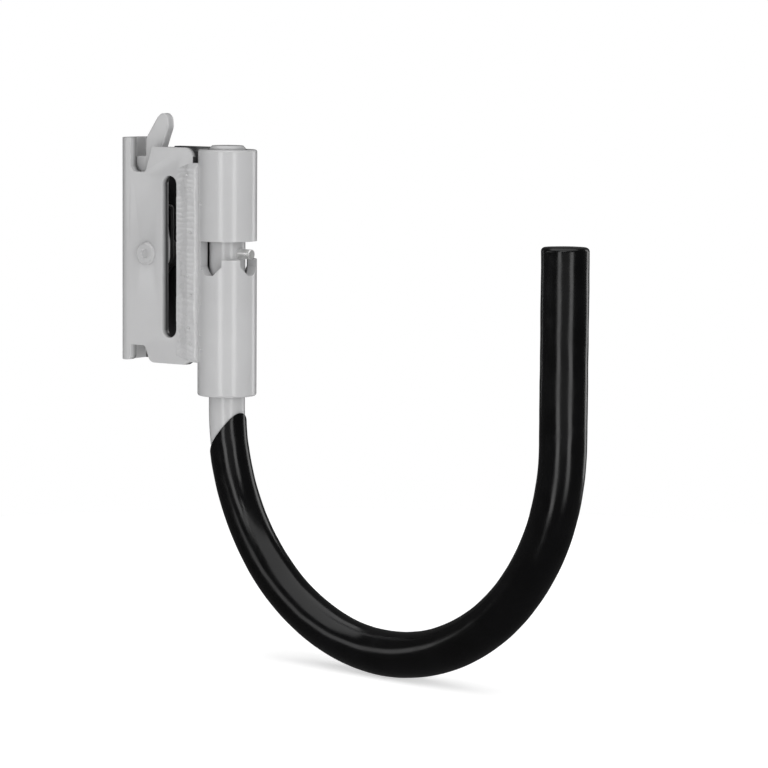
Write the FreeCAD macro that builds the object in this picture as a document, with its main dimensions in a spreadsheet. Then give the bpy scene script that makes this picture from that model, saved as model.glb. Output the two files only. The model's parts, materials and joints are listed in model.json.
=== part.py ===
"""Swivelling J-hook on a sprung track fitting.

A folded sheet-steel fitting drops into a slotted wall track and is held there by a sprung
latch lever. A tube welded to its open edge carries a plastic-dipped J-hook. The hook turns
on its straight leg, and a cross pin above the castellated lower tube indexes it.

Frame: +Z up, -Y out from the wall, X across the fitting. Y = 0 is the track's front face,
Z = 0 is the height of the lever's rivet, X = 0 is the middle of the fitting.
"""

import FreeCAD, Part
import math
import os
import Sketcher

doc = FreeCAD.newDocument("swivel_hook")

# ---------------------------------------------------------------- driving dimensions

DIMENSIONS = {
    # folded fitting
    "sheet": 3.0,
    "fitting_width": 14.0,
    "bend_radius": 4.0,
    "rear_y": 12.5,
    "front_y": -16.9,
    "lip_top": 35.4,
    "lip_bottom": -33.1,
    "shoulder_top": 32.8,
    "shoulder_bottom": -33.4,
    "shoulder_rear": -1.2,
    "lip_front": 7.2,
    "top_notch_floor": 25.0,
    "low_notch_roof": -28.3,
    "notch_foot": 1.4,
    "front_corner": 3.4,
    "slot_y": -8.05,
    "slot_width": 5.4,
    "slot_low": -25.4,
    "slot_high": 24.1,
    # latch lever, its rivet and its spring
    "rivet_y": 0.9,
    "rivet_radius": 2.4,
    "rivet_head_radius": 3.5,
    "rivet_head_height": 1.1,
    "rivet_dimple_radius": 1.5,
    "lever_thick": 3.0,
    "lever_gap": 0.15,
    "lever_bore_radius": 2.5,
    "step_height": 29.7,
    "nose_y": 7.4,
    "tab_y": 3.8,
    "tab_tip_y": -2.2,
    "tab_tip_height": 42.9,
    "wire": 1.2,
    "coil_radius": 4.4,
    "coil_pitch": 1.35,
    "coil_turns": 2.125,
    "spring_upper_leg": 14.5,
    "spring_bend": 1.2,
    # swivel tube
    "tube_y": -25.0,
    "tube_radius": 9.0,
    "tube_bore_radius": 6.0,
    "tube_low": -42.5,
    "tube_high": 32.4,
    "window_top": 4.7,
    "tooth_top": -0.8,
    "index_floor": -5.5,
    "index_half_width": 4.0,
    "index_corner": 2.6,
    "weld_low": -32.6,
    "weld_high": 28.4,
    "weld_throat": 1.7,
    "weld_leg": 5.4,
    # hook, with its plastic dip and its cross pin
    "rod_radius": 5.5,
    "rod_top": 33.6,
    "bend_centre": -46.5,
    "hook_radius": 67.2,
    "hook_tip": 9.1,
    "dip_neck_radius": 5.95,
    "dip_radius": 6.85,
    "dip_cap": 1.3,
    "dip_edge_radius": 2.2,
    "dip_line_out": 5.4,
    "dip_line_height": -47.6,
    "dip_line_slope": 58.0,
    "pin_radius": 1.5,
    "pin_height": 0.95,
    "pin_reach": 10.6,
    "hook_turn": -8.0,
}

sheet = doc.addObject("Spreadsheet::Sheet", "Sizes")
for row, (alias, value) in enumerate(DIMENSIONS.items(), start=1):
    sheet.set(f"A{row}", alias)
    sheet.set(f"B{row}", str(value))
    sheet.setAlias(f"B{row}", alias)
doc.recompute()


def bound(expression):
    """The expression with each driving dimension written as its spreadsheet cell."""
    words = []
    for word in expression.split():
        sign = "-" if word.startswith("-") and word[1:] in DIMENSIONS else ""
        bare = word[len(sign):]
        words.append(f"{sign}Sizes.{bare}" if bare in DIMENSIONS else word)
    return " ".join(words)


def number(expression):
    """The expression's present value."""
    result = sheet.evalExpression(bound(expression))
    return float(getattr(result, "Value", result))


def bind(feature, **expressions):
    """Drive properties of a feature by expressions."""
    for prop, expression in expressions.items():
        feature.setExpression(prop, bound(expression))


# ---------------------------------------------------------------- sketch and body helpers


def new_body(label, y="0", turn="0"):
    """A body with its own label, standing at y and turned about Z."""
    body = doc.addObject("PartDesign::Body", label)
    body.Label = label
    body.Placement = FreeCAD.Placement(
        FreeCAD.Vector(0, number(y), 0), FreeCAD.Rotation(number(turn), 0, 0)
    )
    body.setExpression("Placement.Base.y", bound(y))
    return body


def new_sketch(body, name, plane, offset="0"):
    """A sketch on one of the body's origin planes, moved along the plane's normal."""
    sketch = body.newObject("Sketcher::SketchObject", name)
    origin = next(f for f in body.Origin.OriginFeatures if f.Role == plane)
    sketch.AttachmentSupport = [(origin, "")]
    sketch.MapMode = "FlatFace"
    sketch.AttachmentOffset = FreeCAD.Placement(
        FreeCAD.Vector(0, 0, number(offset)), FreeCAD.Rotation()
    )
    sketch.setExpression("AttachmentOffset.Base.z", bound(offset))
    return sketch


def pin_point(sketch, geometry, which, x, y):
    """Hold a point of the sketch at the expressions x and y; None leaves one free."""
    for kind, expression in (("DistanceX", x), ("DistanceY", y)):
        if expression is None:
            continue
        index = sketch.addConstraint(
            Sketcher.Constraint(kind, -1, 1, geometry, which, number(expression))
        )
        sketch.setExpression(f"Constraints[{index}]", bound(expression))


def polygon(sketch, points):
    """A closed outline through points, each a pair of expressions."""
    places = [FreeCAD.Vector(number(x), number(y), 0) for x, y in points]
    first = sketch.GeometryCount
    for start, end in zip(places, places[1:] + places[:1]):
        sketch.addGeometry(Part.LineSegment(start, end), False)
    for i in range(len(points)):
        following = first + (i + 1) % len(points)
        sketch.addConstraint(Sketcher.Constraint("Coincident", first + i, 2, following, 1))
    for i, (x, y) in enumerate(points):
        pin_point(sketch, first + i, 1, x, y)


def circle(sketch, x, y, radius):
    """A full circle."""
    centre = FreeCAD.Vector(number(x), number(y), 0)
    index = sketch.addGeometry(
        Part.Circle(centre, FreeCAD.Vector(0, 0, 1), number(radius)), False
    )
    pin_point(sketch, index, 3, x, y)
    size = sketch.addConstraint(Sketcher.Constraint("Radius", index, number(radius)))
    sketch.setExpression(f"Constraints[{size}]", bound(radius))


def pad(body, sketch, length, midplane=False):
    feature = body.newObject("PartDesign::Pad", sketch.Name + "Pad")
    feature.Profile = sketch
    bind(feature, Length=length)
    feature.SideType = "Symmetric" if midplane else "One side"
    return finish(body, feature)


def pocket(body, sketch, midplane=True):
    """Cut the sketch through the whole body; the cut must remove something."""
    before = body.Shape.Volume
    feature = body.newObject("PartDesign::Pocket", sketch.Name + "Pocket")
    feature.Profile = sketch
    feature.Type = "ThroughAll"
    feature.SideType = "Symmetric" if midplane else "One side"
    finish(body, feature)
    assert body.Shape.Volume < before - 0.01, f"{feature.Name} cuts nothing"
    return feature


def finish(body, feature):
    sketch = getattr(feature, "Profile", None)
    if sketch:
        sketch[0].Visibility = False
    body.Tip = feature
    doc.recompute()
    return feature


def edges_where(body, test):
    """Names of the body's edges whose two ends and middle all pass the test."""
    names = []
    for i, edge in enumerate(body.Tip.Shape.Edges, start=1):
        middle = edge.valueAt((edge.FirstParameter + edge.LastParameter) / 2)
        ends = [v.Point for v in edge.Vertexes]
        if all(test(p) for p in [*ends, middle]):
            names.append(f"Edge{i}")
    return names


def near(value, target):
    return abs(value - target) < 0.01


def along_x(y, z):
    """A test for edges along X at the expressions y and z."""
    y_here, z_here = number(y), number(z)
    return lambda p: near(p.y, y_here) and near(p.z, z_here)


def round_edges(body, name, names, radius):
    assert names, f"{name} finds no edge"
    base = body.Tip
    feature = body.newObject("PartDesign::Fillet", name)
    feature.Base = (base, names)
    bind(feature, Radius=radius)
    return finish(body, feature)


def bevel_edges(body, name, names, size):
    assert names, f"{name} finds no edge"
    base = body.Tip
    feature = body.newObject("PartDesign::Chamfer", name)
    feature.Base = (base, names)
    bind(feature, Size=size)
    return finish(body, feature)


# ---------------------------------------------------------------- fitting body


def make_fitting_body():
    """One sheet folded round the rear, notched above and below for the track's slot."""
    body = new_body("fitting_body")
    outline = new_sketch(body, "FittingOutline", "YZ_Plane")
    polygon(
        outline,
        [
            ("rear_y", "lip_bottom"),
            ("rear_y", "lip_top"),
            ("lip_front", "lip_top"),
            ("lip_front", "top_notch_floor"),
            ("notch_foot", "top_notch_floor"),
            ("shoulder_rear", "shoulder_top"),
            ("front_y", "shoulder_top"),
            ("front_y", "shoulder_bottom + 1.6"),
            ("front_y + 3", "shoulder_bottom"),
            ("shoulder_rear + 0.8", "shoulder_bottom"),
            ("notch_foot + 0.2", "low_notch_roof"),
            ("lip_front", "low_notch_roof"),
            ("lip_front", "lip_bottom"),
        ],
    )
    pad(body, outline, "fitting_width", midplane=True)
    for name, y, z, radius in (
        ("NotchRear", "lip_front", "top_notch_floor", "2.2"),
        ("NotchFront", "notch_foot", "top_notch_floor", "1.3"),
        ("ShoulderCorner", "front_y", "shoulder_top", "front_corner"),
        ("ShoulderTail", "shoulder_rear + 0.8", "shoulder_bottom", "2.4"),
        ("LowNotchFront", "notch_foot + 0.2", "low_notch_roof", "1.2"),
        ("LipFoot", "lip_front", "lip_bottom", "1.6"),
    ):
        round_edges(body, name, edges_where(body, along_x(y, z)), radius)
    rear = number("rear_y")
    upright = edges_where(body, lambda p: near(p.y, rear) and not near(p.x, 0))
    upright = [
        name
        for name in upright
        if abs(body.Tip.Shape.getElement(name).BoundBox.ZLength) > 10
    ]
    round_edges(body, "FoldRounding", upright, "bend_radius")

    inside = new_sketch(body, "FittingInside", "XY_Plane")
    half, web = "fitting_width / 2 - sheet", "rear_y - sheet"
    polygon(
        inside,
        [
            (f"-1 * ( {half} )", "front_y - 1"),
            (half, "front_y - 1"),
            (half, f"{web} - 1"),
            (f"{half} - 1", web),
            (f"1 - ( {half} )", web),
            (f"-1 * ( {half} )", f"{web} - 1"),
        ],
    )
    pocket(body, inside)

    slot = new_sketch(body, "WebbingSlot", "YZ_Plane")
    polygon(
        slot,
        [
            ("slot_y - slot_width / 2", "slot_low + slot_width / 2"),
            ("slot_y + slot_width / 2", "slot_low + slot_width / 2"),
            ("slot_y + slot_width / 2", "slot_high - slot_width / 2"),
            ("slot_y - slot_width / 2", "slot_high - slot_width / 2"),
        ],
    )
    pocket(body, slot)
    for end in ("slot_low + slot_width / 2", "slot_high - slot_width / 2"):
        name = "SlotEndLow" if "low" in end else "SlotEndHigh"
        round_end = new_sketch(body, name, "YZ_Plane")
        circle(round_end, "slot_y", end, "slot_width / 2")
        pocket(body, round_end)

    rivet_hole = new_sketch(body, "RivetHole", "YZ_Plane")
    circle(rivet_hole, "rivet_y", "0", "rivet_radius")
    pocket(body, rivet_hole)
    return body


# ---------------------------------------------------------------- latch


def make_latch_lever():
    """A thick flat lever on the rivet: nose under the track's edge, thumb tab above."""
    body = new_body("latch_lever")
    inner_face = "-1 * ( fitting_width / 2 - sheet - lever_gap )"
    outline = new_sketch(body, "LeverOutline", "YZ_Plane", inner_face)
    polygon(
        outline,
        [
            ("rivet_y - 4.6", "-4.6"),
            ("rivet_y + 4.6", "-4.6"),
            ("rivet_y + 5.2", "4"),
            ("rear_y - sheet - 1.1", "9"),
            ("rear_y - sheet - 1.1", "14"),
            ("nose_y - 2.6", "step_height - 6"),
            ("nose_y", "step_height - 3"),
            ("nose_y", "step_height"),
            ("tab_y", "step_height"),
            ("tab_y", "lip_top - 0.2"),
            ("tab_tip_y + 1.6", "tab_tip_height - 1.3"),
            ("tab_tip_y - 0.6", "tab_tip_height + 0.7"),
            ("tab_tip_y - 2.6", "tab_tip_height - 1.2"),
            ("tab_tip_y - 2.9", "tab_tip_height - 4.1"),
            ("shoulder_rear - 1.2", "shoulder_top - 1"),
            ("rivet_y - 3", "14"),
            ("rivet_y - 4.6", "4"),
        ],
    )
    pad(body, outline, "lever_thick")
    for name, y, z, radius in (
        ("EyeFront", "rivet_y - 4.6", "-4.6", "3.6"),
        ("EyeRear", "rivet_y + 4.6", "-4.6", "3.6"),
        ("NoseUnder", "nose_y - 2.6", "step_height - 6", "1.5"),
        ("NoseRear", "nose_y", "step_height - 3", "2.2"),
        ("NoseTop", "nose_y", "step_height", "0.6"),
        ("StepRoot", "tab_y", "step_height", "0.6"),
        ("TabKnee", "tab_y", "lip_top - 0.2", "1.5"),
        ("TabTipRear", "tab_tip_y + 1.6", "tab_tip_height - 1.3", "1.6"),
        ("TabTipTop", "tab_tip_y - 0.6", "tab_tip_height + 0.7", "1.7"),
        ("TabTipFront", "tab_tip_y - 2.6", "tab_tip_height - 1.2", "1.6"),
        ("TabTipUnder", "tab_tip_y - 2.9", "tab_tip_height - 4.1", "2.6"),
    ):
        round_edges(body, name, edges_where(body, along_x(y, z)), radius)
    bore = new_sketch(body, "LeverBore", "YZ_Plane")
    circle(bore, "rivet_y", "0", "lever_bore_radius")
    pocket(body, bore)
    return body


def make_lever_rivet():
    """A tubular-end rivet through both plates and the lever, revolved about its axis."""
    body = new_body("lever_rivet", y="rivet_y")
    section = new_sketch(body, "RivetSection", "XZ_Plane")
    plate, head = "fitting_width / 2", "fitting_width / 2 + rivet_head_height"
    polygon(
        section,
        [
            (f"-1 * ( {head} ) + 0.6", "0"),
            (f"-1 * ( {head} ) + 0.6", "rivet_dimple_radius - 0.3"),
            (f"-1 * ( {head} )", "rivet_dimple_radius"),
            (f"-1 * ( {head} )", "rivet_head_radius - 0.6"),
            (f"-1 * ( {head} ) + 0.6", "rivet_head_radius"),
            (f"-1 * ( {plate} )", "rivet_head_radius"),
            (f"-1 * ( {plate} )", "rivet_radius"),
            (plate, "rivet_radius"),
            (plate, "rivet_head_radius"),
            (f"{head} - 0.5", "rivet_head_radius"),
            (head, "rivet_head_radius - 1.1"),
            (head, "0"),
        ],
    )
    revolution = body.newObject("PartDesign::Revolution", "RivetTurn")
    revolution.Profile = section
    revolution.ReferenceAxis = (section, ["H_Axis"])
    revolution.Angle = 360
    finish(body, revolution)
    return body


def make_latch_spring():
    """A torsion spring round the rivet: one leg on the channel's back, one over the lever.

    The coil starts at its foremost point, beside the lever, and winds downwards and back.
    Both legs lie square to the rivet, without the coil's pitch.
    """
    wire, bend = number("wire / 2"), number("spring_bend")
    start_x = number("sheet + lever_gap + lever_thick - fitting_width / 2") + 0.25 + wire
    helix = Part.makeHelix(
        number("coil_pitch"), number("coil_pitch * coil_turns"), number("coil_radius")
    )
    helix.Placement = FreeCAD.Placement(
        FreeCAD.Vector(start_x, number("rivet_y"), 0),
        FreeCAD.Rotation(
            FreeCAD.Vector(0, -1, 0), FreeCAD.Vector(0, 0, -1), FreeCAD.Vector(1, 0, 0), "ZXY"
        ),
    )
    coil = helix.Edges[0]
    begin, end = coil.valueAt(coil.FirstParameter), coil.valueAt(coil.LastParameter)
    leaving = coil.tangentAt(coil.LastParameter)
    leaving = FreeCAD.Vector(0, leaving.y, leaving.z).normalize()

    up, over = FreeCAD.Vector(0, 0, 1), FreeCAD.Vector(-1, 0, 0)
    corner = begin + up * number("spring_upper_leg")
    hook_tip = corner + over * number("lever_thick")
    bend_start, bend_end = corner + over * bend, corner - up * bend
    bend_middle = corner + (over - up) * (bend * (1 - math.sqrt(0.5)))
    to_wall = (number("rear_y - sheet") - 0.15 - wire - end.y) / leaving.y
    path = Part.Wire([
        Part.makeLine(hook_tip, bend_start),
        Part.Arc(bend_start, bend_middle, bend_end).toShape(),
        Part.makeLine(bend_end, begin),
        coil,
        Part.makeLine(end, end + leaving * to_wall),
    ])
    ring = Part.Wire(Part.makeCircle(wire, hook_tip, over))
    spring = doc.addObject("Part::Feature", "latch_spring")
    spring.Label = "latch_spring"
    spring.Shape = path.makePipeShell([ring], True, True)
    return spring


# ---------------------------------------------------------------- tube and welds


def make_swivel_tube():
    """A thick tube, windowed in front and castellated below the window."""
    body = new_body("swivel_tube", y="tube_y")
    ring = new_sketch(body, "TubeRing", "XY_Plane", "tube_low")
    circle(ring, "0", "0", "tube_radius")
    circle(ring, "0", "0", "tube_bore_radius")
    pad(body, ring, "tube_high - tube_low")
    rims = edges_where(
        body,
        lambda p: near(math.hypot(p.x, p.y), number("tube_radius"))
        and (near(p.z, number("tube_high")) or near(p.z, number("tube_low"))),
    )
    round_edges(body, "RimRounding", rims, "0.7")

    # the side notches run right across, up to the window's roof
    side = new_sketch(body, "SideNotch", "YZ_Plane")
    polygon(
        side,
        [
            ("-1 * index_half_width", "window_top"),
            ("-1 * index_half_width", "index_floor + index_corner"),
            ("index_corner - index_half_width", "index_floor"),
            ("index_half_width - index_corner", "index_floor"),
            ("index_half_width", "index_floor + index_corner"),
            ("index_half_width", "window_top"),
        ],
    )
    pocket(body, side)

    # the window takes the whole front half, down to the tops of the teeth
    window = new_sketch(body, "Window", "YZ_Plane")
    polygon(
        window,
        [
            ("-1 * tube_radius - 1", "tooth_top"),
            ("0", "tooth_top"),
            ("0", "window_top"),
            ("-1 * tube_radius - 1", "window_top"),
        ],
    )
    pocket(body, window)

    # the front notch, where the pin sits when the hook points straight out
    front = new_sketch(body, "FrontNotch", "XZ_Plane")
    polygon(
        front,
        [
            ("-1 * index_half_width", "tooth_top + 1"),
            ("-1 * index_half_width", "index_floor + index_corner"),
            ("index_corner - index_half_width", "index_floor"),
            ("index_half_width - index_corner", "index_floor"),
            ("index_half_width", "index_floor + index_corner"),
            ("index_half_width", "tooth_top + 1"),
        ],
    )
    cut = body.newObject("PartDesign::Pocket", "FrontNotchPocket")
    before = body.Shape.Volume
    cut.Profile = front
    cut.Type = "Length"
    bind(cut, Length="tube_radius + 1")
    cut.Reversed = True
    finish(body, cut)
    assert body.Shape.Volume < before - 0.01, "the front notch cuts nothing"
    return body


def make_weld_bead(label, side):
    """A fillet bead in the corner between a plate's outer face and the tube."""
    reach = "weld_leg + 1.3"
    core = doc.addObject("Part::Cylinder", label + "_core")
    bind(core, Radius=reach, Height="weld_high - weld_low")
    core.Placement.Base = FreeCAD.Vector(
        side * number(f"fitting_width / 2 + weld_throat - ( {reach} )"),
        number("front_y + 1.7"),
        number("weld_low"),
    )
    bind(core, **{
        "Placement.Base.x": f"{side} * ( fitting_width / 2 + weld_throat - ( {reach} ) )",
        "Placement.Base.y": "front_y + 1.7",
        "Placement.Base.z": "weld_low",
    })
    plates = doc.addObject("Part::Box", label + "_plates")
    bind(plates, Length="fitting_width", Width="rear_y - front_y", Height="weld_high - weld_low")
    bind(plates, **{
        "Placement.Base.x": "-1 * fitting_width / 2",
        "Placement.Base.y": "front_y",
        "Placement.Base.z": "weld_low",
    })
    tube = doc.addObject("Part::Cylinder", label + "_tube")
    bind(tube, Radius="tube_radius", Height="weld_high - weld_low")
    bind(tube, **{"Placement.Base.y": "tube_y", "Placement.Base.z": "weld_low"})
    far_side = doc.addObject("Part::Box", label + "_far_side")
    bind(far_side, Length="fitting_width", Width="fitting_width", Height="weld_high - weld_low")
    bind(far_side, **{
        "Placement.Base.x": "0" if side < 0 else "-1 * fitting_width",
        "Placement.Base.y": "front_y - fitting_width",
        "Placement.Base.z": "weld_low",
    })
    tools = doc.addObject("Part::MultiFuse", label + "_tools")
    tools.Shapes = [plates, tube, far_side]
    bead = doc.addObject("Part::Cut", label)
    bead.Label = label
    bead.Base, bead.Tool = core, tools
    doc.recompute()
    return bead


# ---------------------------------------------------------------- hook


def hook_path(body, name, top, tip):
    """The J's centre line: down the leg, round the half circle, up to the tip."""
    path = new_sketch(body, name, "YZ_Plane")
    far = "-2 * hook_radius"
    top_z, bend_z, tip_z = number(top), number("bend_centre"), number(tip)
    radius = number("hook_radius")
    centre = FreeCAD.Vector(-radius, bend_z, 0)
    leg = path.addGeometry(
        Part.LineSegment(FreeCAD.Vector(0, top_z, 0), FreeCAD.Vector(0, bend_z, 0)), False
    )
    arc = path.addGeometry(
        Part.ArcOfCircle(
            Part.Circle(centre, FreeCAD.Vector(0, 0, 1), radius), math.pi, 2 * math.pi
        ),
        False,
    )
    rise = path.addGeometry(
        Part.LineSegment(
            FreeCAD.Vector(-2 * radius, bend_z, 0), FreeCAD.Vector(-2 * radius, tip_z, 0)
        ),
        False,
    )
    path.addConstraint(Sketcher.Constraint("Coincident", leg, 2, arc, 2))
    path.addConstraint(Sketcher.Constraint("Coincident", arc, 1, rise, 1))
    pin_point(path, leg, 1, "0", top)
    pin_point(path, leg, 2, "0", "bend_centre")
    pin_point(path, rise, 1, far, "bend_centre")
    pin_point(path, rise, 2, far, tip)
    pin_point(path, arc, 3, None, "bend_centre")
    return path


def sweep(body, name, profile, path, subtract=False, sections=()):
    kind = "PartDesign::SubtractivePipe" if subtract else "PartDesign::AdditivePipe"
    feature = body.newObject(kind, name)
    feature.Profile = profile
    feature.Spine = path
    feature.Mode = "Standard"
    if sections:
        feature.Transformation = "Multisection"
        feature.Sections = list(sections)
    return finish(body, feature)


def make_hook_rod():
    """The round bar, bent to a J, with a cross hole for the pin."""
    body = new_body("hook_rod", y="tube_y", turn="hook_turn")
    path = hook_path(body, "RodPath", "rod_top", "hook_tip - dip_cap")
    section = new_sketch(body, "RodSection", "XY_Plane", "rod_top")
    circle(section, "0", "0", "rod_radius")
    sweep(body, "RodSweep", section, path)
    ends = edges_where(
        body,
        lambda p: near(p.z, number("rod_top")) or near(p.z, number("hook_tip - dip_cap")),
    )
    bevel_edges(body, "RodEnds", ends, "0.8")
    hole = new_sketch(body, "PinHole", "XZ_Plane")
    circle(hole, "0", "pin_height", "pin_radius")
    cut = body.newObject("PartDesign::Pocket", "PinHolePocket")
    before = body.Shape.Volume
    cut.Profile = hole
    cut.Type = "Length"
    cut.SideType = "Symmetric"
    bind(cut, Length="2 * rod_radius + 2")
    finish(body, cut)
    assert body.Shape.Volume < before - 0.01, "the pin hole cuts nothing"
    return body


def make_hook_coating():
    """The plastic dip: thin at its slanted upper line, full round the bend, capped at the tip."""
    body = new_body("hook_coating", y="tube_y", turn="hook_turn")
    neck_z = "dip_line_height + 3.6"
    path = hook_path(body, "DipPath", neck_z, "hook_tip")
    neck = new_sketch(body, "DipNeck", "XY_Plane", neck_z)
    circle(neck, "0", "0", "dip_neck_radius")
    bottom = new_sketch(body, "DipBottom", "XZ_Plane", "hook_radius")
    circle(bottom, "0", "bend_centre - hook_radius", "dip_radius")
    crown = new_sketch(body, "DipTip", "XY_Plane", "hook_tip")
    circle(crown, "0", "-2 * hook_radius", "dip_radius")
    sweep(body, "DipSweep", neck, path, sections=[bottom, crown])
    tip = edges_where(body, lambda p: near(p.z, number("hook_tip")))
    round_edges(body, "TipRounding", tip, "dip_edge_radius")

    slope = f"tan( {number('dip_line_slope')} deg )"
    above = new_sketch(body, "AboveDipLine", "YZ_Plane")
    margin = "rod_radius + 2.5"
    polygon(
        above,
        [
            (margin, f"dip_line_height - ( {margin} + dip_line_out ) * {slope}"),
            (margin, "dip_line_height + 30"),
            (f"-1 * ( {margin} )", "dip_line_height + 30"),
            (f"-1 * ( {margin} )", f"dip_line_height + ( {margin} - dip_line_out ) * {slope}"),
        ],
    )
    pocket(body, above)

    hollow_path = hook_path(body, "HollowPath", neck_z, "hook_tip - dip_cap")
    hollow = new_sketch(body, "DipHollow", "XY_Plane", neck_z)
    circle(hollow, "0", "0", "rod_radius")
    sweep(body, "DipHollowSweep", hollow, hollow_path, subtract=True)
    return body


def make_index_pin():
    """The plain cross pin, pressed through the rod and standing out of the window."""
    pin = doc.addObject("Part::Cylinder", "index_pin_bar")
    bind(pin, Radius="pin_radius", Height="pin_reach + rod_radius - 0.1")
    chamfer = doc.addObject("Part::Chamfer", "index_pin")
    chamfer.Label = "index_pin"
    chamfer.Base = pin
    doc.recompute()
    chamfer.Edges = [
        (i, 0.3, 0.3)
        for i, edge in enumerate(pin.Shape.Edges, start=1)
        if len(edge.Vertexes) == 1
    ]
    turn = number("hook_turn")
    inner = number("rod_radius") - 0.1
    swing = FreeCAD.Rotation(turn, 0, 0)
    outward = swing.multVec(FreeCAD.Vector(0, -1, 0))
    place = FreeCAD.Vector(0, number("tube_y"), number("pin_height")) - outward * inner
    chamfer.Placement = FreeCAD.Placement(
        place, FreeCAD.Rotation(FreeCAD.Vector(0, 0, 1), outward)
    )
    return chamfer


# ---------------------------------------------------------------- build, check, write

parts = [
    make_fitting_body(),
    make_latch_lever(),
    make_lever_rivet(),
    make_latch_spring(),
    make_swivel_tube(),
    make_weld_bead("weld_bead_left", -1),
    make_weld_bead("weld_bead_right", 1),
    make_hook_rod(),
    make_hook_coating(),
    make_index_pin(),
]
doc.recompute()

for item in doc.Objects:
    assert not {"Invalid", "Error"} & set(item.State), f"{item.Label} is {item.State}"
for part in parts:
    shape = part.Shape
    assert not shape.isNull() and shape.isValid(), f"{part.Label} has no valid shape"
    assert len(shape.Solids) == 1, f"{part.Label} has {len(shape.Solids)} solids"

os.makedirs("parts", exist_ok=True)
for part in parts:
    part.Shape.exportStep(f"parts/{part.Label}.step")
    print(part.Label, round(part.Shape.Volume, 1), part.Shape.BoundBox)
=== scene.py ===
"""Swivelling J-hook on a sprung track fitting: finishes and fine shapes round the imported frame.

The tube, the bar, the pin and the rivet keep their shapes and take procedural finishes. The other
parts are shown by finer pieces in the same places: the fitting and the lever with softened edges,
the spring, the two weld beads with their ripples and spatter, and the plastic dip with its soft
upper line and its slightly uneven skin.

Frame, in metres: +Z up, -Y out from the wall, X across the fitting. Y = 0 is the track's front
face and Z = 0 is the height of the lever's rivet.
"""

import json
import math
import random

import bmesh
import bpy
from bpy.props import FloatProperty, FloatVectorProperty, IntProperty, PointerProperty
from mathutils import Matrix, Vector, noise

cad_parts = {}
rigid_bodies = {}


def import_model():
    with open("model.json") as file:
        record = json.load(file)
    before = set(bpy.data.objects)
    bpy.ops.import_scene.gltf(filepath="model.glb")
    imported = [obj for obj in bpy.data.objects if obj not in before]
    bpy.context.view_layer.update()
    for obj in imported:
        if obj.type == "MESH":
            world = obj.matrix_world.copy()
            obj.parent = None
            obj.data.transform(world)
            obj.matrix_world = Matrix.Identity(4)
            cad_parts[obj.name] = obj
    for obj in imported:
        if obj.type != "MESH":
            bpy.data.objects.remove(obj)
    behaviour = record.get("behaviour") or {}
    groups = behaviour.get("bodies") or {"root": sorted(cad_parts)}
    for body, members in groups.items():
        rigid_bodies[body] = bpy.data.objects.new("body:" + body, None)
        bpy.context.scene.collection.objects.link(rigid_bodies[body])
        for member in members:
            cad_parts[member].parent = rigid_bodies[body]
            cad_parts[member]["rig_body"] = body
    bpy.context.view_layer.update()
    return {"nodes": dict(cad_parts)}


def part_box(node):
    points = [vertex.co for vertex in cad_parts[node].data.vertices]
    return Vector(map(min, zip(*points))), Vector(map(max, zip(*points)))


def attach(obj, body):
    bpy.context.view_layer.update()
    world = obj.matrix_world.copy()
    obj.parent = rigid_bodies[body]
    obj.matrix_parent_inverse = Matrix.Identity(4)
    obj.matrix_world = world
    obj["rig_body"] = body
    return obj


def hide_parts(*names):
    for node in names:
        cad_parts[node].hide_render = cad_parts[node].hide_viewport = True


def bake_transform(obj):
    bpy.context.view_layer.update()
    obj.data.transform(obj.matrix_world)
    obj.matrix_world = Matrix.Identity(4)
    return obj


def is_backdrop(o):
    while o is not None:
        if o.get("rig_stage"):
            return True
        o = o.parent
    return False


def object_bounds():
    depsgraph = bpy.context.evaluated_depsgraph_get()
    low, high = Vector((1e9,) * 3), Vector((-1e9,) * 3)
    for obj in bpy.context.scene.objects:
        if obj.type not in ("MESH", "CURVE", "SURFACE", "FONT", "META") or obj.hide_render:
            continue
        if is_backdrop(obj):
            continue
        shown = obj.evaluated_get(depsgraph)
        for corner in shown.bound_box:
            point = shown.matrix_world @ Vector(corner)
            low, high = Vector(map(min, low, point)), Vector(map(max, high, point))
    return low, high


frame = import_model()
NODES = frame["nodes"]

bl_info = {
    "name": "Swivel J-Hook",
    "version": (1, 0, 0),
    "blender": (4, 5, 0),
    "location": "View3D > Sidebar > Swivel Hook",
    "description": "Finishes, welds and plastic dip of a swivelling J-hook",
    "category": "Object",
}

MM = 0.001
UP = Vector((0, 0, 1))
# near-black colour painted as shade inside the fitting and in the tube's bore
PAINTED_SHADE = (0.03, 0.03, 0.031)
SHEET = 3 * MM
BORE_RADIUS = 6 * MM


# ---------------------------------------------------------------- settings


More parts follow.
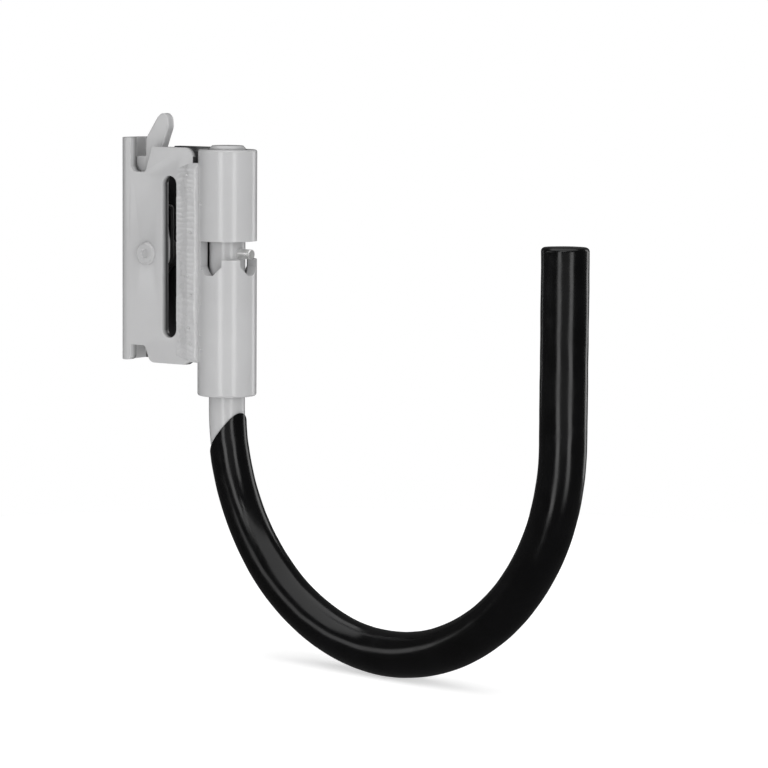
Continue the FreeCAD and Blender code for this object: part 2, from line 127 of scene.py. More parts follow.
class DipSettings(bpy.types.PropertyGroup):
    """Sizes of the plastic dip on the hook."""

    neck_radius: FloatProperty(
        name="Neck radius", description="Outer radius at the upper line",
        default=5.95 * MM, min=0.0, subtype="DISTANCE", unit="LENGTH", precision=5,
    )
    full_radius: FloatProperty(
        name="Full radius", description="Outer radius from the bottom of the bend to the tip",
        default=6.85 * MM, min=0.0, subtype="DISTANCE", unit="LENGTH", precision=5,
    )
    rod_radius: FloatProperty(
        name="Rod radius", description="Radius of the bar inside the dip",
        default=5.5 * MM, min=0.0, subtype="DISTANCE", unit="LENGTH", precision=5,
    )
    bend_radius: FloatProperty(
        name="Bend radius", description="Radius of the bend, to the bar's middle",
        default=67.2 * MM, min=0.0, subtype="DISTANCE", unit="LENGTH", precision=5,
    )
    bend_height: FloatProperty(
        name="Bend height", description="Height at which the bend begins and ends",
        default=-46.5 * MM, subtype="DISTANCE", unit="LENGTH", precision=5,
    )
    tip_rounding: FloatProperty(
        name="Tip rounding", description="Radius of the tip's edge",
        default=2.2 * MM, min=0.0, subtype="DISTANCE", unit="LENGTH", precision=5,
    )
    line_slope: FloatProperty(
        name="Line slope", description="Slope of the dip's upper line",
        default=math.radians(58), subtype="ANGLE", unit="ROTATION",
    )
    line_height: FloatProperty(
        name="Line height", description="Height of the upper line at its outer side",
        default=-47.6 * MM, subtype="DISTANCE", unit="LENGTH", precision=5,
    )
    line_out: FloatProperty(
        name="Line reach", description="How far out the line's height is given",
        default=5.4 * MM, subtype="DISTANCE", unit="LENGTH", precision=5,
    )
    unevenness: FloatProperty(
        name="Unevenness", description="Greatest dip of the skin below its full radius",
        default=0.19 * MM, min=0.0, subtype="DISTANCE", unit="LENGTH", precision=6,
    )


class WeldSettings(bpy.types.PropertyGroup):
    """Sizes of the two weld beads."""

    core_radius: FloatProperty(
        name="Bead radius", description="Radius of the bead's rounded face",
        default=6.7 * MM, min=0.0, subtype="DISTANCE", unit="LENGTH", precision=5,
    )
    ripple_pitch: FloatProperty(
        name="Ripple pitch", description="Height of one ripple",
        default=1.7 * MM, min=0.0001, subtype="DISTANCE", unit="LENGTH", precision=5,
    )
    ripple_depth: FloatProperty(
        name="Ripple depth", description="Depth of the ripples",
        default=0.07 * MM, min=0.0, subtype="DISTANCE", unit="LENGTH", precision=5,
    )
    crown: FloatProperty(
        name="Crown", description="How proud of the plate the bead stands beside the tube",
        default=0.95 * MM, min=0.0, subtype="DISTANCE", unit="LENGTH", precision=5,
    )
    lumps: FloatProperty(
        name="Lumps", description="Depth of the slow swells along the bead",
        default=0.17 * MM, min=0.0, subtype="DISTANCE", unit="LENGTH", precision=5,
    )
    spatter: IntProperty(
        name="Spatter", description="Drops of spatter beside each bead",
        default=14, min=0, max=80,
    )


class FinishSettings(bpy.types.PropertyGroup):
    """Colours of the finishes."""

    paint: FloatVectorProperty(
        name="Powder coat", description="Colour of the powder coat",
        default=(0.545, 0.545, 0.55), min=0.0, max=1.0, size=3, subtype="COLOR",
    )
    zinc: FloatVectorProperty(
        name="Zinc plate", description="Colour of the plated pin",
        default=(0.86, 0.86, 0.85), min=0.0, max=1.0, size=3, subtype="COLOR",
    )
    # dark grey, darkened to paint the shade inside the fitting, where the spring sits
    spring: FloatVectorProperty(
        name="Spring wire", description="Colour of the spring wire",
        default=(0.13, 0.13, 0.13), min=0.0, max=1.0, size=3, subtype="COLOR",
    )
    dip: FloatVectorProperty(
        name="Plastic dip", description="Colour of the plastic dip",
        default=(0.0016, 0.0016, 0.0018), min=0.0, max=1.0, size=3, subtype="COLOR",
    )


class StageSettings(bpy.types.PropertyGroup):
    """Camera, light and floor."""

    camera_at: FloatVectorProperty(
        name="Camera", description="Place of the camera",
        default=(-0.84068, -0.67667, 0.06812), size=3, subtype="TRANSLATION", unit="LENGTH",
    )
    azimuth: FloatProperty(
        name="Azimuth", description="Direction from which the camera looks, round the upright",
        default=math.radians(-54.8), subtype="ANGLE", unit="ROTATION",
    )
    elevation: FloatProperty(
        name="Elevation", description="How far the camera looks down",
        default=math.radians(5.743), subtype="ANGLE", unit="ROTATION",
    )
    roll: FloatProperty(
        name="Roll", description="Tilt of the camera to one side",
        default=math.radians(0.411), subtype="ANGLE", unit="ROTATION",
    )
    lens: FloatProperty(
        name="Lens", description="Focal length of the camera, in millimetres",
        default=164.06, min=1.0, unit="CAMERA", subtype="DISTANCE_CAMERA",
    )
    fill: FloatProperty(
        name="Room", description="Brightness of the room round the object",
        default=0.07, min=0.0,
    )
    strip_power: FloatProperty(
        name="Strip lights", description="Power of each tall light beside the camera, in watts",
        default=3.4, min=0.0, subtype="POWER", unit="POWER",
    )
    front_power: FloatProperty(
        name="Front fill", description="Power of the broad light in front, in watts",
        default=5.6, min=0.0, subtype="POWER", unit="POWER",
    )
    panel_power: FloatProperty(
        name="Front panel", description="Power of the low, dim panel in front, in watts",
        default=0.9, min=0.0, subtype="POWER", unit="POWER",
    )
    side_power: FloatProperty(
        name="Side panel", description="Power of the low panel on the wall's side, in watts",
        default=1.5, min=0.0, subtype="POWER", unit="POWER",
    )
    bar_power: FloatProperty(
        name="Bar light", description="Power of the narrow bar above the camera, in watts",
        default=0.6, min=0.0, subtype="POWER", unit="POWER",
    )
    top_power: FloatProperty(
        name="Top light", description="Power of the light overhead, in watts",
        default=15.0, min=0.0, subtype="POWER", unit="POWER",
    )
    rim_power: FloatProperty(
        name="Rim light", description="Power of the light behind, in watts",
        default=3.0, min=0.0, subtype="POWER", unit="POWER",
    )


# ---------------------------------------------------------------- finishes


class Shader:
    """Builds one node material round a Principled shader."""

    def __init__(self, name, colour, roughness, metallic=0.0, ior=1.5):
        self.material = bpy.data.materials.new(name)
        self.material.use_nodes = True
        self.tree = self.material.node_tree
        self.surface = self.tree.nodes["Principled BSDF"]
        self.surface.inputs["Base Color"].default_value = (*colour, 1)
        self.surface.inputs["Roughness"].default_value = roughness
        self.surface.inputs["Metallic"].default_value = metallic
        self.surface.inputs["IOR"].default_value = ior
        self.material.diffuse_color = (*colour, 1)
        self.place = self.add("ShaderNodeTexCoord").outputs["Object"]
        self.colour = None
        self.normal = None

    def gloss(self, weight, roughness):
        """A clear, smoother layer over the surface."""
        self.surface.inputs["Coat Weight"].default_value = weight
        self.surface.inputs["Coat Roughness"].default_value = roughness

    def add(self, kind, **values):
        """A new node. A value named after a property sets it, and any other sets an input."""
        node = self.tree.nodes.new(kind)
        for key, value in values.items():
            if hasattr(node, key):
                setattr(node, key, value)
            else:
                node.inputs[key.replace("_", " ")].default_value = value
        return node

    def link(self, output, target):
        self.tree.links.new(output, target)

    def stretched(self, scale):
        """Object coordinates, scaled by a different number on each axis."""
        mapping = self.add("ShaderNodeMapping", Scale=scale)
        self.link(self.place, mapping.inputs["Vector"])
        return mapping.outputs["Vector"]

    def noise(self, scale, detail=2.0, roughness=0.5, along=None):
        """Grey noise on the object's own coordinates; scale is in features per metre."""
        texture = self.add(
            "ShaderNodeTexNoise", Scale=scale, Detail=detail, Roughness=roughness
        )
        self.link(along or self.place, texture.inputs["Vector"])
        return texture.outputs["Fac"]

    def ranged(self, value, low, high, start=0.3, end=0.7):
        """The value carried from start..end to low..high."""
        node = self.add(
            "ShaderNodeMapRange", From_Min=start, From_Max=end, To_Min=low, To_Max=high
        )
        self.link(value, node.inputs["Value"])
        return node.outputs["Result"]

    def tint(self, value, dark, light):
        """Base colour between two colours."""
        ramp = self.add("ShaderNodeValToRGB")
        low, high = ramp.color_ramp.elements
        low.position, high.position = 0.3, 0.7
        low.color, high.color = (*dark, 1), (*light, 1)
        self.link(value, ramp.inputs["Fac"])
        self.colour = ramp.outputs["Color"]
        self.link(self.colour, self.surface.inputs["Base Color"])

    def cover(self, share, colour):
        """Lays another colour over the base colour where share is 1."""
        mix = self.add("ShaderNodeMix", data_type="RGBA")
        factor, _, _, _, _, _, under, over = mix.inputs[:8]
        self.link(share, factor)
        self.link(self.colour, under)
        over.default_value = (*colour, 1)
        self.colour = mix.outputs[2]
        self.link(self.colour, self.surface.inputs["Base Color"])

    def below(self, value, edge, blur=0.2 * MM):
        """1 where the value is under the edge, falling to 0 over the blur."""
        return self.ranged(value, 1.0, 0.0, start=edge, end=edge + blur)

    def combine(self, operation, first, second=None):
        node = self.add("ShaderNodeMath", operation=operation)
        self.link(first, node.inputs[0])
        if second:
            self.link(second, node.inputs[1])
        return node.outputs[0]

    def axes(self):
        """Width, depth and height of each point."""
        split = self.add("ShaderNodeSeparateXYZ")
        self.link(self.place, split.inputs[0])
        return split.outputs

    def from_upright(self, axis_y):
        """Distance of each point from an upright axis at that depth."""
        mapping = self.add("ShaderNodeMapping", Location=(0, -axis_y, 0), Scale=(1, 1, 0))
        self.link(self.place, mapping.inputs["Vector"])
        length = self.add("ShaderNodeVectorMath", operation="LENGTH")
        self.link(mapping.outputs["Vector"], length.inputs[0])
        return length.outputs["Value"]

    def vary_roughness(self, value, low, high):
        self.link(self.ranged(value, low, high), self.surface.inputs["Roughness"])

    def bump(self, value, strength, distance):
        """Adds one layer of relief on top of those before it."""
        node = self.add("ShaderNodeBump", Strength=strength, Distance=distance)
        self.link(value, node.inputs["Height"])
        if self.normal:
            self.link(self.normal, node.inputs["Normal"])
        self.normal = node.outputs["Normal"]
        self.link(self.normal, self.surface.inputs["Normal"])


def shade(colour, factor):
    return tuple(min(1.0, channel * factor) for channel in colour)


def powder_coat(name, colour, orange_peel=0.10, grain=0.06, roughness=0.36):
    """Semi-gloss powder coat: orange peel, a finer grain and a faint change of tone."""
    paint = Shader(name, colour, roughness)
    paint.gloss(0.7, 0.14)
    paint.tint(paint.noise(55, detail=3), shade(colour, 0.955), shade(colour, 1.03))
    paint.vary_roughness(paint.noise(420, detail=3), roughness - 0.05, roughness + 0.07)
    paint.bump(paint.noise(620, detail=1.5), orange_peel, 0.16 * MM)
    paint.bump(paint.noise(2600, detail=2), grain, 0.04 * MM)
    return paint


def fitting_coat_and_shade(name, colour):
    """Powder coat, with near-black painted shade inside and on the slot and front cut faces."""
    low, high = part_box("fitting_body")
    slots_end = low.y + 12.4 * MM
    paint = powder_coat(name, colour)
    width, depth, _ = paint.axes()
    width = paint.combine("ABSOLUTE", width)
    # painted shade inside the fitting, between the side plates and in front of the rear wall
    channel = paint.combine(
        "MULTIPLY",
        paint.below(width, high.x - SHEET + 0.04 * MM, blur=1.9 * MM),
        paint.below(depth, high.y - SHEET - 0.3 * MM),
    )
    # painted shade on the slot cut faces, darkening from their outer edge inwards
    slots = paint.combine(
        "MULTIPLY",
        paint.below(width, high.x - 1.9 * MM, blur=1.3 * MM),
        paint.below(depth, slots_end),
    )
    channel = paint.combine("MAXIMUM", channel, slots)
    # painted shade on the side plates' front cut faces beside the tube, but for their outer edge
    front_face_shade = paint.combine(
        "MULTIPLY",
        paint.below(width, high.x - 0.45 * MM),
        paint.below(depth, low.y + 0.05 * MM, blur=0.1 * MM),
    )
    paint.cover(paint.combine("MAXIMUM", channel, front_face_shade), PAINTED_SHADE)
    return paint.material


def tube_coat_and_shade(name, colour):
    """Powder coat outside, and near-black painted shade in the tube's bore."""
    low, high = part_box("swivel_tube")
    paint = powder_coat(name, colour)
    from_axis = paint.from_upright((low.y + high.y) / 2)
    # painted shade on everything nearer the axis than the bore's radius
    paint.cover(paint.below(from_axis, BORE_RADIUS + 0.06 * MM), PAINTED_SHADE)
    return paint.material


def weld_coat(name, colour):
    """The powder coat where it runs over the weld, glossier and less even than on the sheet."""
    paint = Shader(name, colour, 0.30)
    paint.gloss(0.8, 0.12)
    paint.tint(paint.noise(110, detail=3), shade(colour, 0.97), shade(colour, 1.05))
    paint.vary_roughness(paint.noise(300, detail=2), 0.22, 0.36)
    paint.bump(paint.noise(480, detail=1), 0.16, 0.20 * MM)
    return paint.material


def plated_metal(name, colour, roughness, scratches, metallic=1.0):
    """Plated steel or wire, with fine scratches and a slight bloom."""
    metal = Shader(name, colour, roughness, metallic=metallic)
    metal.tint(metal.noise(500, detail=4), shade(colour, 0.93), shade(colour, 1.06))
    metal.vary_roughness(metal.noise(900, detail=3), roughness - 0.04, roughness + 0.08)
    fine = metal.noise(1.0, detail=2, along=metal.stretched(scratches))
    metal.bump(fine, 0.06, 0.03 * MM)
    return metal.material


def vinyl_dip(name, colour):
    """Glossy dipped plastic: a deep colour, slow swells in the skin and a fine grain."""
    vinyl = Shader(name, colour, 0.19, ior=1.43)
    vinyl.tint(vinyl.noise(90, detail=4), shade(colour, 0.7), shade(colour, 1.6))
    vinyl.vary_roughness(vinyl.noise(160, detail=4, roughness=0.6), 0.14, 0.25)
    vinyl.bump(vinyl.noise(75, detail=1.0), 0.22, 1.2 * MM)
    vinyl.bump(vinyl.noise(1400, detail=2), 0.035, 0.06 * MM)
    return vinyl.material


def dress(piece, material):
    """Gives the whole piece one material."""
    if piece.material_slots:
        for slot in piece.material_slots:
            slot.material = material
    else:
        piece.data.materials.append(material)


# ---------------------------------------------------------------- mesh helpers


def finished_piece(name, bm, material, body, replaced):
    """Closes a bmesh into a named, smooth-shaded piece, on its body if one is given."""
    bmesh.ops.remove_doubles(bm, verts=bm.verts, dist=0.002 * MM)
    bmesh.ops.recalc_face_normals(bm, faces=bm.faces)
    for face in bm.faces:
        face.smooth = True
    mesh = bpy.data.meshes.new(name)
    bm.to_mesh(mesh)
    bm.free()
    mesh.set_sharp_from_angle(angle=math.radians(50))
    piece = bpy.data.objects.new(name, mesh)
    bpy.context.scene.collection.objects.link(piece)
    dress(piece, material)
    if body:
        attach(piece, body)
    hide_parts(replaced)
    return piece


def moved_verts(extruded):
    return [part for part in extruded["geom"] if isinstance(part, bmesh.types.BMVert)]


def softened(name, node, width, material):
    """A copy of a painted frame part with its hard edges rounded off by width."""
    hard = math.radians(34)
    bm = bmesh.new()
    bm.from_mesh(NODES[node].data)
    bmesh.ops.remove_doubles(bm, verts=bm.verts, dist=0.002 * MM)
    bmesh.ops.dissolve_limit(
        bm, angle_limit=math.radians(0.4), verts=bm.verts, edges=bm.edges,
        use_dissolve_boundaries=False,
    )
    sharp = [
        edge for edge in bm.edges
        if edge.is_manifold and edge.calc_face_angle(0) > hard
    ]
    bmesh.ops.bevel(
        bm, geom=sharp, offset=width, offset_type="OFFSET", segments=3, profile=0.5,
        affect="EDGES", clamp_overlap=True, material=-1, loop_slide=True,
    )
    body = NODES[node]["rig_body"]
    return finished_piece(name, bm, material, body, node)


# ---------------------------------------------------------------- pieces


class SWIVELHOOK_OT_painted_parts(bpy.types.Operator):
    """Powder-coats the fitting, the lever, the rivet, the tube and the bar"""

    bl_idname = "swivel_hook.painted_parts"
    bl_label = "Painted Parts"

    def execute(self, context):
        colour = context.scene.hook_finish.paint
        sheet = fitting_coat_and_shade("Fitting powder coat and painted shade", colour)
        softened("coated_fitting", "fitting_body", 0.45 * MM, sheet)
        dress(NODES["swivel_tube"], tube_coat_and_shade("Tube powder coat and painted shade", colour))
        lever = powder_coat("Lever powder coat", colour, roughness=0.33)
        softened("coated_lever", "latch_lever", 0.40 * MM, lever.material)
        dress(NODES["hook_rod"], powder_coat("Bar powder coat", shade(colour, 0.97)).material)
        rivet = powder_coat("Rivet powder coat", shade(colour, 0.96), orange_peel=0.16)
        dress(NODES["lever_rivet"], rivet.material)
        return {"FINISHED"}


class SWIVELHOOK_OT_metal_parts(bpy.types.Operator):
    """Plates the index pin, and finishes the latch spring"""

    bl_idname = "swivel_hook.metal_parts"
    bl_label = "Metal Parts"

    def execute(self, context):
        finish = context.scene.hook_finish
        dress(
            NODES["index_pin"],
            plated_metal(
                "Bright zinc plate", finish.zinc, 0.30, scratches=(400, 2400, 400), metallic=0.7
            ),
        )
        # the wire's dark grey is painted shade for the inside of the fitting
        wire = plated_metal("Spring wire", finish.spring, 0.34, scratches=(2600, 900, 900))
        bm = bmesh.new()
        bm.from_mesh(NODES["latch_spring"].data)
        spring = finished_piece("bending_spring", bm, wire, None, "latch_spring")
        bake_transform(spring)
        return {"FINISHED"}


class SWIVELHOOK_OT_weld_beads(bpy.types.Operator):
    """Lays a rippled bead with its spatter down each side of the tube"""

    bl_idname = "swivel_hook.weld_beads"
    bl_label = "Weld Beads"

    def execute(self, context):
        settings = context.scene.hook_welds
        coat = weld_coat("Powder coat over weld", context.scene.hook_finish.paint)
        for side, node in ((-1, "weld_bead_left"), (1, "weld_bead_right")):
            self.lay(settings, coat, side, node)
        return {"FINISHED"}

    def lay(self, settings, coat, side, node):
        """One bead: a rounded face over a root sunk in the steel, drawn up beside the tube."""
        low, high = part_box(node)
        radius = settings.core_radius
        outer = max(abs(low.x), abs(high.x))
        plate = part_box("fitting_body")[1].x
        tube_low, tube_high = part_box("swivel_tube")
        tube_axis, tube_radius = (tube_low + tube_high) / 2, (tube_high.x - tube_low.x) / 2
        inset = 0.15 * MM
        bottom, top = low.z + inset, high.z - inset

        # the toe on the plate fixes the middle of the bead's round face
        face = plate - (outer - radius)
        toe = math.acos(face / radius)
        centre = Vector((side * (outer - radius), high.y - radius * math.sin(toe), 0))
        # the face ends half a millimetre under the tube's surface
        to_tube = Vector((centre.x, centre.y - tube_axis.y))
        sunk_tube = tube_radius - 0.5 * MM
        opening = math.acos(
            (radius**2 + to_tube.length_squared - sunk_tube**2) / (2 * radius * to_tube.length)
        )
        front = math.atan2(-to_tube.y, -abs(to_tube.x)) + opening

        bm = bmesh.new()
        start = bm.verts.new(
            centre + Vector((side * radius * math.cos(toe), radius * math.sin(toe), bottom))
        )
        spun = bmesh.ops.spin(
            bm, geom=[start], cent=centre, axis=UP, dvec=(0, 0, 0),
            angle=side * (front - toe), steps=30, use_merge=False, use_duplicate=False,
        )
        last = [part for part in spun["geom_last"] if isinstance(part, bmesh.types.BMVert)][0]
        # the root, sunk in the tube's wall and in the plate, closes the outline
        sunk = plate - 1.0 * MM
        root_y = tube_axis.y + math.sqrt((tube_radius - 1.0 * MM) ** 2 - sunk**2)
        root_front = bm.verts.new((side * sunk, root_y, bottom))
        root_back = bm.verts.new((side * sunk, high.y, bottom))
        for pair in ((last, root_front), (root_front, root_back), (root_back, start)):
            bm.edges.new(pair)

        self.draw_up(bm, top - bottom)
        self.ripple(bm, settings, side, centre, (face, toe), (bottom, top))
        self.add_spatter(bm, settings, side, (centre, tube_axis, tube_radius), (bottom, top))
        finished_piece("rippled_" + node, bm, coat, "fitting", node)

    def draw_up(self, bm, height):
        """Draws the closed outline upwards in short rows and closes both ends."""
        rows = round(height / (0.24 * MM))
        rim = list(bm.edges)
        for _ in range(rows):
            grown = bmesh.ops.extrude_edge_only(bm, edges=rim)
            bmesh.ops.translate(bm, verts=moved_verts(grown), vec=UP * (height / rows))
            rim = [part for part in grown["geom"] if isinstance(part, bmesh.types.BMEdge)
                   and abs(part.verts[0].co.z - part.verts[1].co.z) < 1e-7]
        bmesh.ops.holes_fill(bm, edges=[edge for edge in bm.edges if edge.is_boundary], sides=0)

    def ripple(self, bm, settings, side, centre, profile, ends):
        """Lowers the rounded face to the weld's own uneven surface. The root stays."""
        radius = settings.core_radius
        face, toe = profile
        bottom, top = ends
        crown = math.radians(-5)
        seed = Vector((17.0 * side, 3.0, 0.0))
        run_out, end_drop, deepest = 2.2 * MM, 1.2 * MM, -0.8 * MM
        for vert in bm.verts:
            outward = Vector((vert.co.x - centre.x, vert.co.y - centre.y, 0))
            if outward.length < radius - 0.01 * MM:
                continue
            outward.normalize()
            around = math.atan2(outward.y, abs(outward.x))
            # the bead rises from nothing at the plate to its crown beside the tube
            rise = min(1.0, max(0.0, (toe - around) / (toe - crown)))
            lumps = noise.noise(vert.co * 190 + seed) + 0.3 * noise.noise(vert.co * 480 + seed)
            # each ripple sags in the middle of the bead, like a row of overlapping coins
            wander = 0.8 * noise.noise(vert.co * 160 + seed)
            phase = (vert.co.z + around * around * 0.5 * MM) / settings.ripple_pitch + wander
            crest = abs(math.sin(math.pi * phase))
            proud = settings.crown * rise**1.3 + settings.lumps * lumps
            proud -= settings.ripple_depth * (1 - crest) ** 1.5
            end = min(vert.co.z - bottom, top - vert.co.z) / run_out
            if end < 1:
                proud -= end_drop * (1 - end) ** 2
            reach = (face + max(proud, deepest)) / math.cos(around)
            vert.co -= outward * max(0.0, radius - reach)

    def add_spatter(self, bm, settings, side, rounds, ends):
        """Drops half sunk in the bead's front edge and in the tube beside it."""
        centre, tube_axis, tube_radius = rounds
        lowest, highest = ends[0] + 2 * MM, ends[1] - 2 * MM
        rng = random.Random(11 + side)
        for _ in range(settings.spatter):
            size = rng.uniform(0.18, 0.42) * MM
            height = rng.uniform(lowest, highest)
            if rng.random() < 0.65:
                middle, reach = centre, settings.core_radius - 0.16 * MM
                turn = math.radians(rng.uniform(6, 20))
            else:
                middle, reach = tube_axis, tube_radius
                turn = math.radians(rng.uniform(-30, -20))
            spot = Vector((
                middle.x + side * reach * math.cos(turn), middle.y - reach * math.sin(turn), height
            ))
            bmesh.ops.create_icosphere(
                bm, subdivisions=2, radius=size, matrix=Matrix.Translation(spot)
            )


class SWIVELHOOK_OT_plastic_dip(bpy.types.Operator):
    """Dips the hook in glossy plastic, from its slanted upper line to its rounded tip"""

    bl_idname = "swivel_hook.plastic_dip"
    bl_label = "Plastic Dip"

    def execute(self, context):
        dip = context.scene.hook_dip
        swivel = (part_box("swivel_tube")[0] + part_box("swivel_tube")[1]) / 2
        # the skin is made straight out from the wall and turned with the hook at the end
        axis = Vector((swivel.x, swivel.y, 0))
        through = axis + Vector((0, -dip.line_out, dip.line_height))
        upward = Vector((0, math.tan(dip.line_slope), 1)).normalized()
        neck_z = dip.line_height + 5 * MM

        bm = bmesh.new()
        rings, rim = self.grow(bm, dip, axis, neck_z)
        self.thicken(rings, dip, neck_z)
        self.round_tip(bm, rim, dip)
        self.cut_line(bm, dip, axis, through, upward)
        self.swell(bm, dip, through, upward)

        turn = Matrix.Rotation(self.rest_turn(axis), 3, "Z")
        bmesh.ops.rotate(bm, verts=bm.verts, cent=axis, matrix=turn)
        finished_piece(
            "dipped_skin", bm, vinyl_dip("Glossy black dip", context.scene.hook_finish.dip),
            "hook", "hook_coating",
        )
        return {"FINISHED"}

    def grow(self, bm, dip, axis, neck_z):
        """Down from the neck, round the bend and up to the tip, as one tube."""
        turns = 150
        ring = bmesh.ops.create_circle(
            bm, cap_ends=False, radius=dip.neck_radius, segments=72,
            matrix=Matrix.Translation(axis + UP * neck_z),
        )["verts"]
        rings = [ring]
        rim = self.straight(bm, rings, list(bm.edges), -(neck_z - dip.bend_height), 8)
        centre = axis + Vector((0, -dip.bend_radius, dip.bend_height))
        for _ in range(turns):
            grown = bmesh.ops.extrude_edge_only(bm, edges=rim)
            fresh = moved_verts(grown)
            bmesh.ops.rotate(
                bm, verts=fresh, cent=centre, matrix=Matrix.Rotation(-math.pi / turns, 3, "X")
            )
            rings.append(fresh)
            chosen = set(fresh)
            rim = [part for part in grown["geom"] if isinstance(part, bmesh.types.BMEdge)
                   and part.verts[0] in chosen and part.verts[1] in chosen]
        straight_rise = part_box("hook_coating")[1].z - dip.bend_height
        return rings, self.straight(bm, rings, rim, straight_rise, 46)

    def straight(self, bm, rings, rim, rise, steps):
        for _ in range(steps):
            grown = bmesh.ops.extrude_edge_only(bm, edges=rim)
            fresh = moved_verts(grown)
            bmesh.ops.translate(bm, verts=fresh, vec=UP * (rise / steps))
            rings.append(fresh)
            rim = [edge for edge in bm.edges if edge.is_boundary
                   and edge.verts[0] in fresh and edge.verts[1] in fresh]
        return rim

    def thicken(self, rings, dip, neck_z):
        """The skin thickens from the neck to the bottom of the bend."""
        reached = 0.0
        half_way = (neck_z - dip.bend_height) + dip.bend_radius * math.pi / 2
        last = None
        for ring in rings:
            middle = sum((vert.co for vert in ring), Vector()) / len(ring)
            if last is not None:
                reached += (middle - last).length
            last = middle
            share = min(1.0, reached / half_way)
            radius = dip.neck_radius + (dip.full_radius - dip.neck_radius) * share
            for vert in ring:
                vert.co = middle + (vert.co - middle) * (radius / dip.neck_radius)

    def round_tip(self, bm, rim, dip):
        """A flat top with a rounded edge, divided so that the skin's swells reach it."""
        bmesh.ops.holes_fill(bm, edges=rim, sides=0)
        bmesh.ops.bevel(
            bm, geom=rim, offset=dip.tip_rounding, offset_type="OFFSET", segments=8,
            profile=0.5, affect="EDGES", clamp_overlap=True, material=-1,
        )
        cap = [max(bm.faces, key=lambda face: len(face.verts))]
        for depth in (1.0 * MM, 1.4 * MM, 1.2 * MM):
            bmesh.ops.inset_region(bm, faces=cap, thickness=depth, use_even_offset=True)

    def cut_line(self, bm, dip, axis, through, upward):
        """The slanted upper line, with a soft lip down to the bar."""
        bmesh.ops.bisect_plane(
            bm, geom=[*bm.verts, *bm.edges, *bm.faces], dist=1e-6,
            plane_co=through, plane_no=upward, clear_outer=True, clear_inner=False,
        )
        self.bend_line(bm, axis, through, upward)
        edge_loop = [edge for edge in bm.edges if edge.is_boundary]
        grown = bmesh.ops.extrude_edge_only(bm, edges=edge_loop)
        tight = (dip.rod_radius + 0.02 * MM) / dip.neck_radius
        bmesh.ops.scale(
            bm, verts=moved_verts(grown), vec=(tight, tight, 1), space=Matrix.Translation(-axis),
        )
        bmesh.ops.bevel(
            bm, geom=[edge for edge in edge_loop if edge.is_valid], offset=0.26 * MM,
            offset_type="OFFSET", segments=4, profile=0.5, affect="EDGES",
            clamp_overlap=True, material=-1,
        )
        bmesh.ops.holes_fill(bm, edges=[edge for edge in bm.edges if edge.is_boundary], sides=0)

    def bend_line(self, bm, axis, through, upward):
        """Gives the straight-cut line the slow S and the outer droop that a dipped edge has."""
        band, lowest = 6 * MM, -62 * MM
        wave, droop_most = 0.55, 0.9
        for vert in bm.verts:
            depth = (through - vert.co).dot(upward)
            if depth < band and vert.co.z > lowest and (vert.co - axis).xy.length < 9 * MM:
                out = (vert.co.y - axis.y) / (6 * MM)
                fade = max(0.0, 1 - depth / band)
                droop = droop_most * max(0.0, -out) ** 2
                vert.co.z += (wave * math.sin(out * math.pi) - droop) * MM * fade

    def swell(self, bm, dip, through, upward):
        """Slow unevenness of the skin, always inwards, and none at the lip."""
        bmesh.ops.recalc_face_normals(bm, faces=bm.faces)
        bm.normal_update()
        for vert in bm.verts:
            swell = noise.noise(vert.co * 70) + 0.5 * noise.noise(vert.co * 190)
            away = max(0.0, (through - vert.co).dot(upward)) / (4 * MM)
            depth = dip.unevenness * min(1.0, max(0.0, 0.5 + 0.5 * swell))
            vert.co -= vert.normal * depth * min(1.0, away)

    def rest_turn(self, axis):
        """The hook's turn round the upright at rest, from where the tip stands."""
        just_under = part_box("hook_coating")[1].z - 0.5 * MM
        skin = NODES["hook_coating"].data.vertices
        tip = [vert.co for vert in skin if vert.co.z > just_under]
        across, out = [co.x - axis.x for co in tip], [axis.y - co.y for co in tip]
        return math.atan2(min(across) + max(across), min(out) + max(out))


# ---------------------------------------------------------------- stage


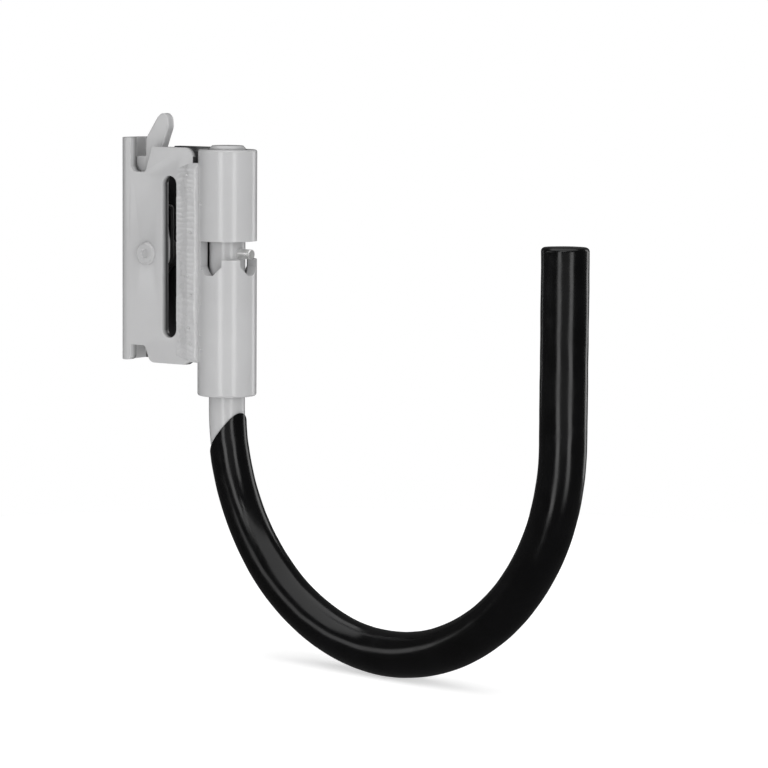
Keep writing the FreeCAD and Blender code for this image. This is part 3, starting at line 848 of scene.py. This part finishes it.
class SWIVELHOOK_OT_stage(bpy.types.Operator):
    """Sets up the pale floor, the soft lights and the camera"""

    bl_idname = "swivel_hook.stage"
    bl_label = "Stage"

    def execute(self, context):
        stage = context.scene.hook_stage
        self.room(context.scene, stage)
        self.floor()
        self.camera(context.scene, stage)
        self.lights(stage)
        context.scene.view_settings.view_transform = "Standard"
        return {"FINISHED"}

    def room(self, scene, stage):
        """A white backdrop, which lights the object only softly."""
        world = bpy.data.worlds.new("Studio")
        world.use_nodes = True
        tree = world.node_tree
        fill = tree.nodes["Background"]
        fill.inputs["Color"].default_value = (1, 1, 1, 1)
        fill.inputs["Strength"].default_value = stage.fill
        backdrop = tree.nodes.new("ShaderNodeBackground")
        backdrop.inputs["Strength"].default_value = 1.0
        backdrop.inputs["Color"].default_value = (1, 1, 1, 1)
        seen = tree.nodes.new("ShaderNodeLightPath")
        mix = tree.nodes.new("ShaderNodeMixShader")
        tree.links.new(seen.outputs["Is Camera Ray"], mix.inputs["Fac"])
        tree.links.new(fill.outputs[0], mix.inputs[1])
        tree.links.new(backdrop.outputs[0], mix.inputs[2])
        tree.links.new(mix.outputs[0], tree.nodes["World Output"].inputs["Surface"])
        scene.world = world

    def floor(self):
        """A round white table just under the bend, with a glow that keeps its shadows soft."""
        low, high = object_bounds()
        place = Vector(((low.x + high.x) / 2, (low.y + high.y) / 2, low.z - 0.05 * MM))
        bm = bmesh.new()
        bmesh.ops.create_circle(
            bm, cap_ends=True, radius=0.35, segments=96, matrix=Matrix.Translation(place)
        )
        mesh = bpy.data.meshes.new("floor")
        bm.to_mesh(mesh)
        bm.free()
        floor = bpy.data.objects.new("floor", mesh)
        bpy.context.scene.collection.objects.link(floor)
        white = Shader("White table", (0.86, 0.86, 0.86), 0.9)
        white.tint(white.noise(6, detail=2), (0.855, 0.855, 0.855), (0.865, 0.865, 0.865))
        white.surface.inputs["Specular IOR Level"].default_value = 0.0
        white.surface.inputs["Emission Color"].default_value = (1, 1, 1, 1)
        white.surface.inputs["Emission Strength"].default_value = 0.57
        floor.data.materials.append(white.material)
        floor.visible_glossy = False
        floor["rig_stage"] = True

    def camera(self, scene, stage):
        data = bpy.data.cameras.new("Camera")
        data.lens = stage.lens
        data.sensor_width = 36.0
        data.clip_start, data.clip_end = 0.05, 20.0
        camera = bpy.data.objects.new("Camera", data)
        scene.collection.objects.link(camera)
        camera.matrix_world = (
            Matrix.Translation(stage.camera_at)
            @ Matrix.Rotation(stage.azimuth, 4, "Z")
            @ Matrix.Rotation(math.pi / 2 - stage.elevation, 4, "X")
            @ Matrix.Rotation(stage.roll, 4, "Z")
        )
        scene.camera = camera

    def lights(self, stage):
        """Strips and panels round the camera, lights overhead and behind, and a broad fill."""
        low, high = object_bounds()
        middle = (low + high) / 2
        side = math.degrees(stage.azimuth)
        self.light("Strip left", side - 26, 2, 1.25, (0.34, 1.2), stage.strip_power, middle)
        self.light("Strip right", side + 29, 2, 1.25, (0.34, 1.2), stage.strip_power, middle)
        self.light("Overhead", side - 40, 80, 1.3, (2.0, 2.0), stage.top_power, middle)
        self.light("Front panel", side, 2, 1.5, (1.6, 0.7), stage.panel_power, middle)
        self.light("Side panel", side - 78, 10, 1.4, (1.0, 0.35), stage.side_power, middle)
        self.light("Bar", side - 12, 33, 1.3, (0.5, 0.07), stage.bar_power, middle)
        self.light("Rim", side + 128, 8, 1.5, (0.5, 1.2), stage.rim_power, middle)
        front = self.light("Front fill", side + 48, 25, 1.5, (1.2, 1.2), stage.front_power, middle)
        front.visible_glossy = False

    def light(self, name, azimuth, elevation, distance, size, power, aim):
        a, e = math.radians(azimuth), math.radians(elevation)
        away = Vector((math.sin(a) * math.cos(e), -math.cos(a) * math.cos(e), math.sin(e)))
        data = bpy.data.lights.new(name, "AREA")
        data.shape = "RECTANGLE"
        data.size, data.size_y = size
        data.energy = power
        light = bpy.data.objects.new(name, data)
        bpy.context.scene.collection.objects.link(light)
        light.location = aim + away * distance
        light.rotation_euler = away.to_track_quat("Z", "Y").to_euler()
        return light


# ---------------------------------------------------------------- panel and registration


STEPS = (
    SWIVELHOOK_OT_painted_parts,
    SWIVELHOOK_OT_metal_parts,
    SWIVELHOOK_OT_weld_beads,
    SWIVELHOOK_OT_plastic_dip,
    SWIVELHOOK_OT_stage,
)
GROUPS = {
    "hook_finish": FinishSettings,
    "hook_welds": WeldSettings,
    "hook_dip": DipSettings,
    "hook_stage": StageSettings,
}


class SWIVELHOOK_PT_panel(bpy.types.Panel):
    """Lists the steps and their settings"""

    bl_idname = "SWIVELHOOK_PT_panel"
    bl_label = "Swivel Hook"
    bl_space_type = "VIEW_3D"
    bl_region_type = "UI"
    bl_category = "Swivel Hook"

    def draw(self, context):
        for step in STEPS:
            self.layout.operator(step.bl_idname)
        for name, group in GROUPS.items():
            box = self.layout.box()
            for setting in group.__annotations__:
                box.prop(getattr(context.scene, name), setting)


CLASSES = (*GROUPS.values(), *STEPS, SWIVELHOOK_PT_panel)


def register():
    for cls in CLASSES:
        bpy.utils.register_class(cls)
    for name, group in GROUPS.items():
        setattr(bpy.types.Scene, name, PointerProperty(type=group))


def unregister():
    for name in GROUPS:
        delattr(bpy.types.Scene, name)
    for cls in reversed(CLASSES):
        bpy.utils.unregister_class(cls)


def main():
    register()
    bpy.ops.swivel_hook.painted_parts()
    bpy.ops.swivel_hook.metal_parts()
    bpy.ops.swivel_hook.weld_beads()
    bpy.ops.swivel_hook.plastic_dip()
    bpy.ops.swivel_hook.stage()


if __name__ == "__main__":
    main()
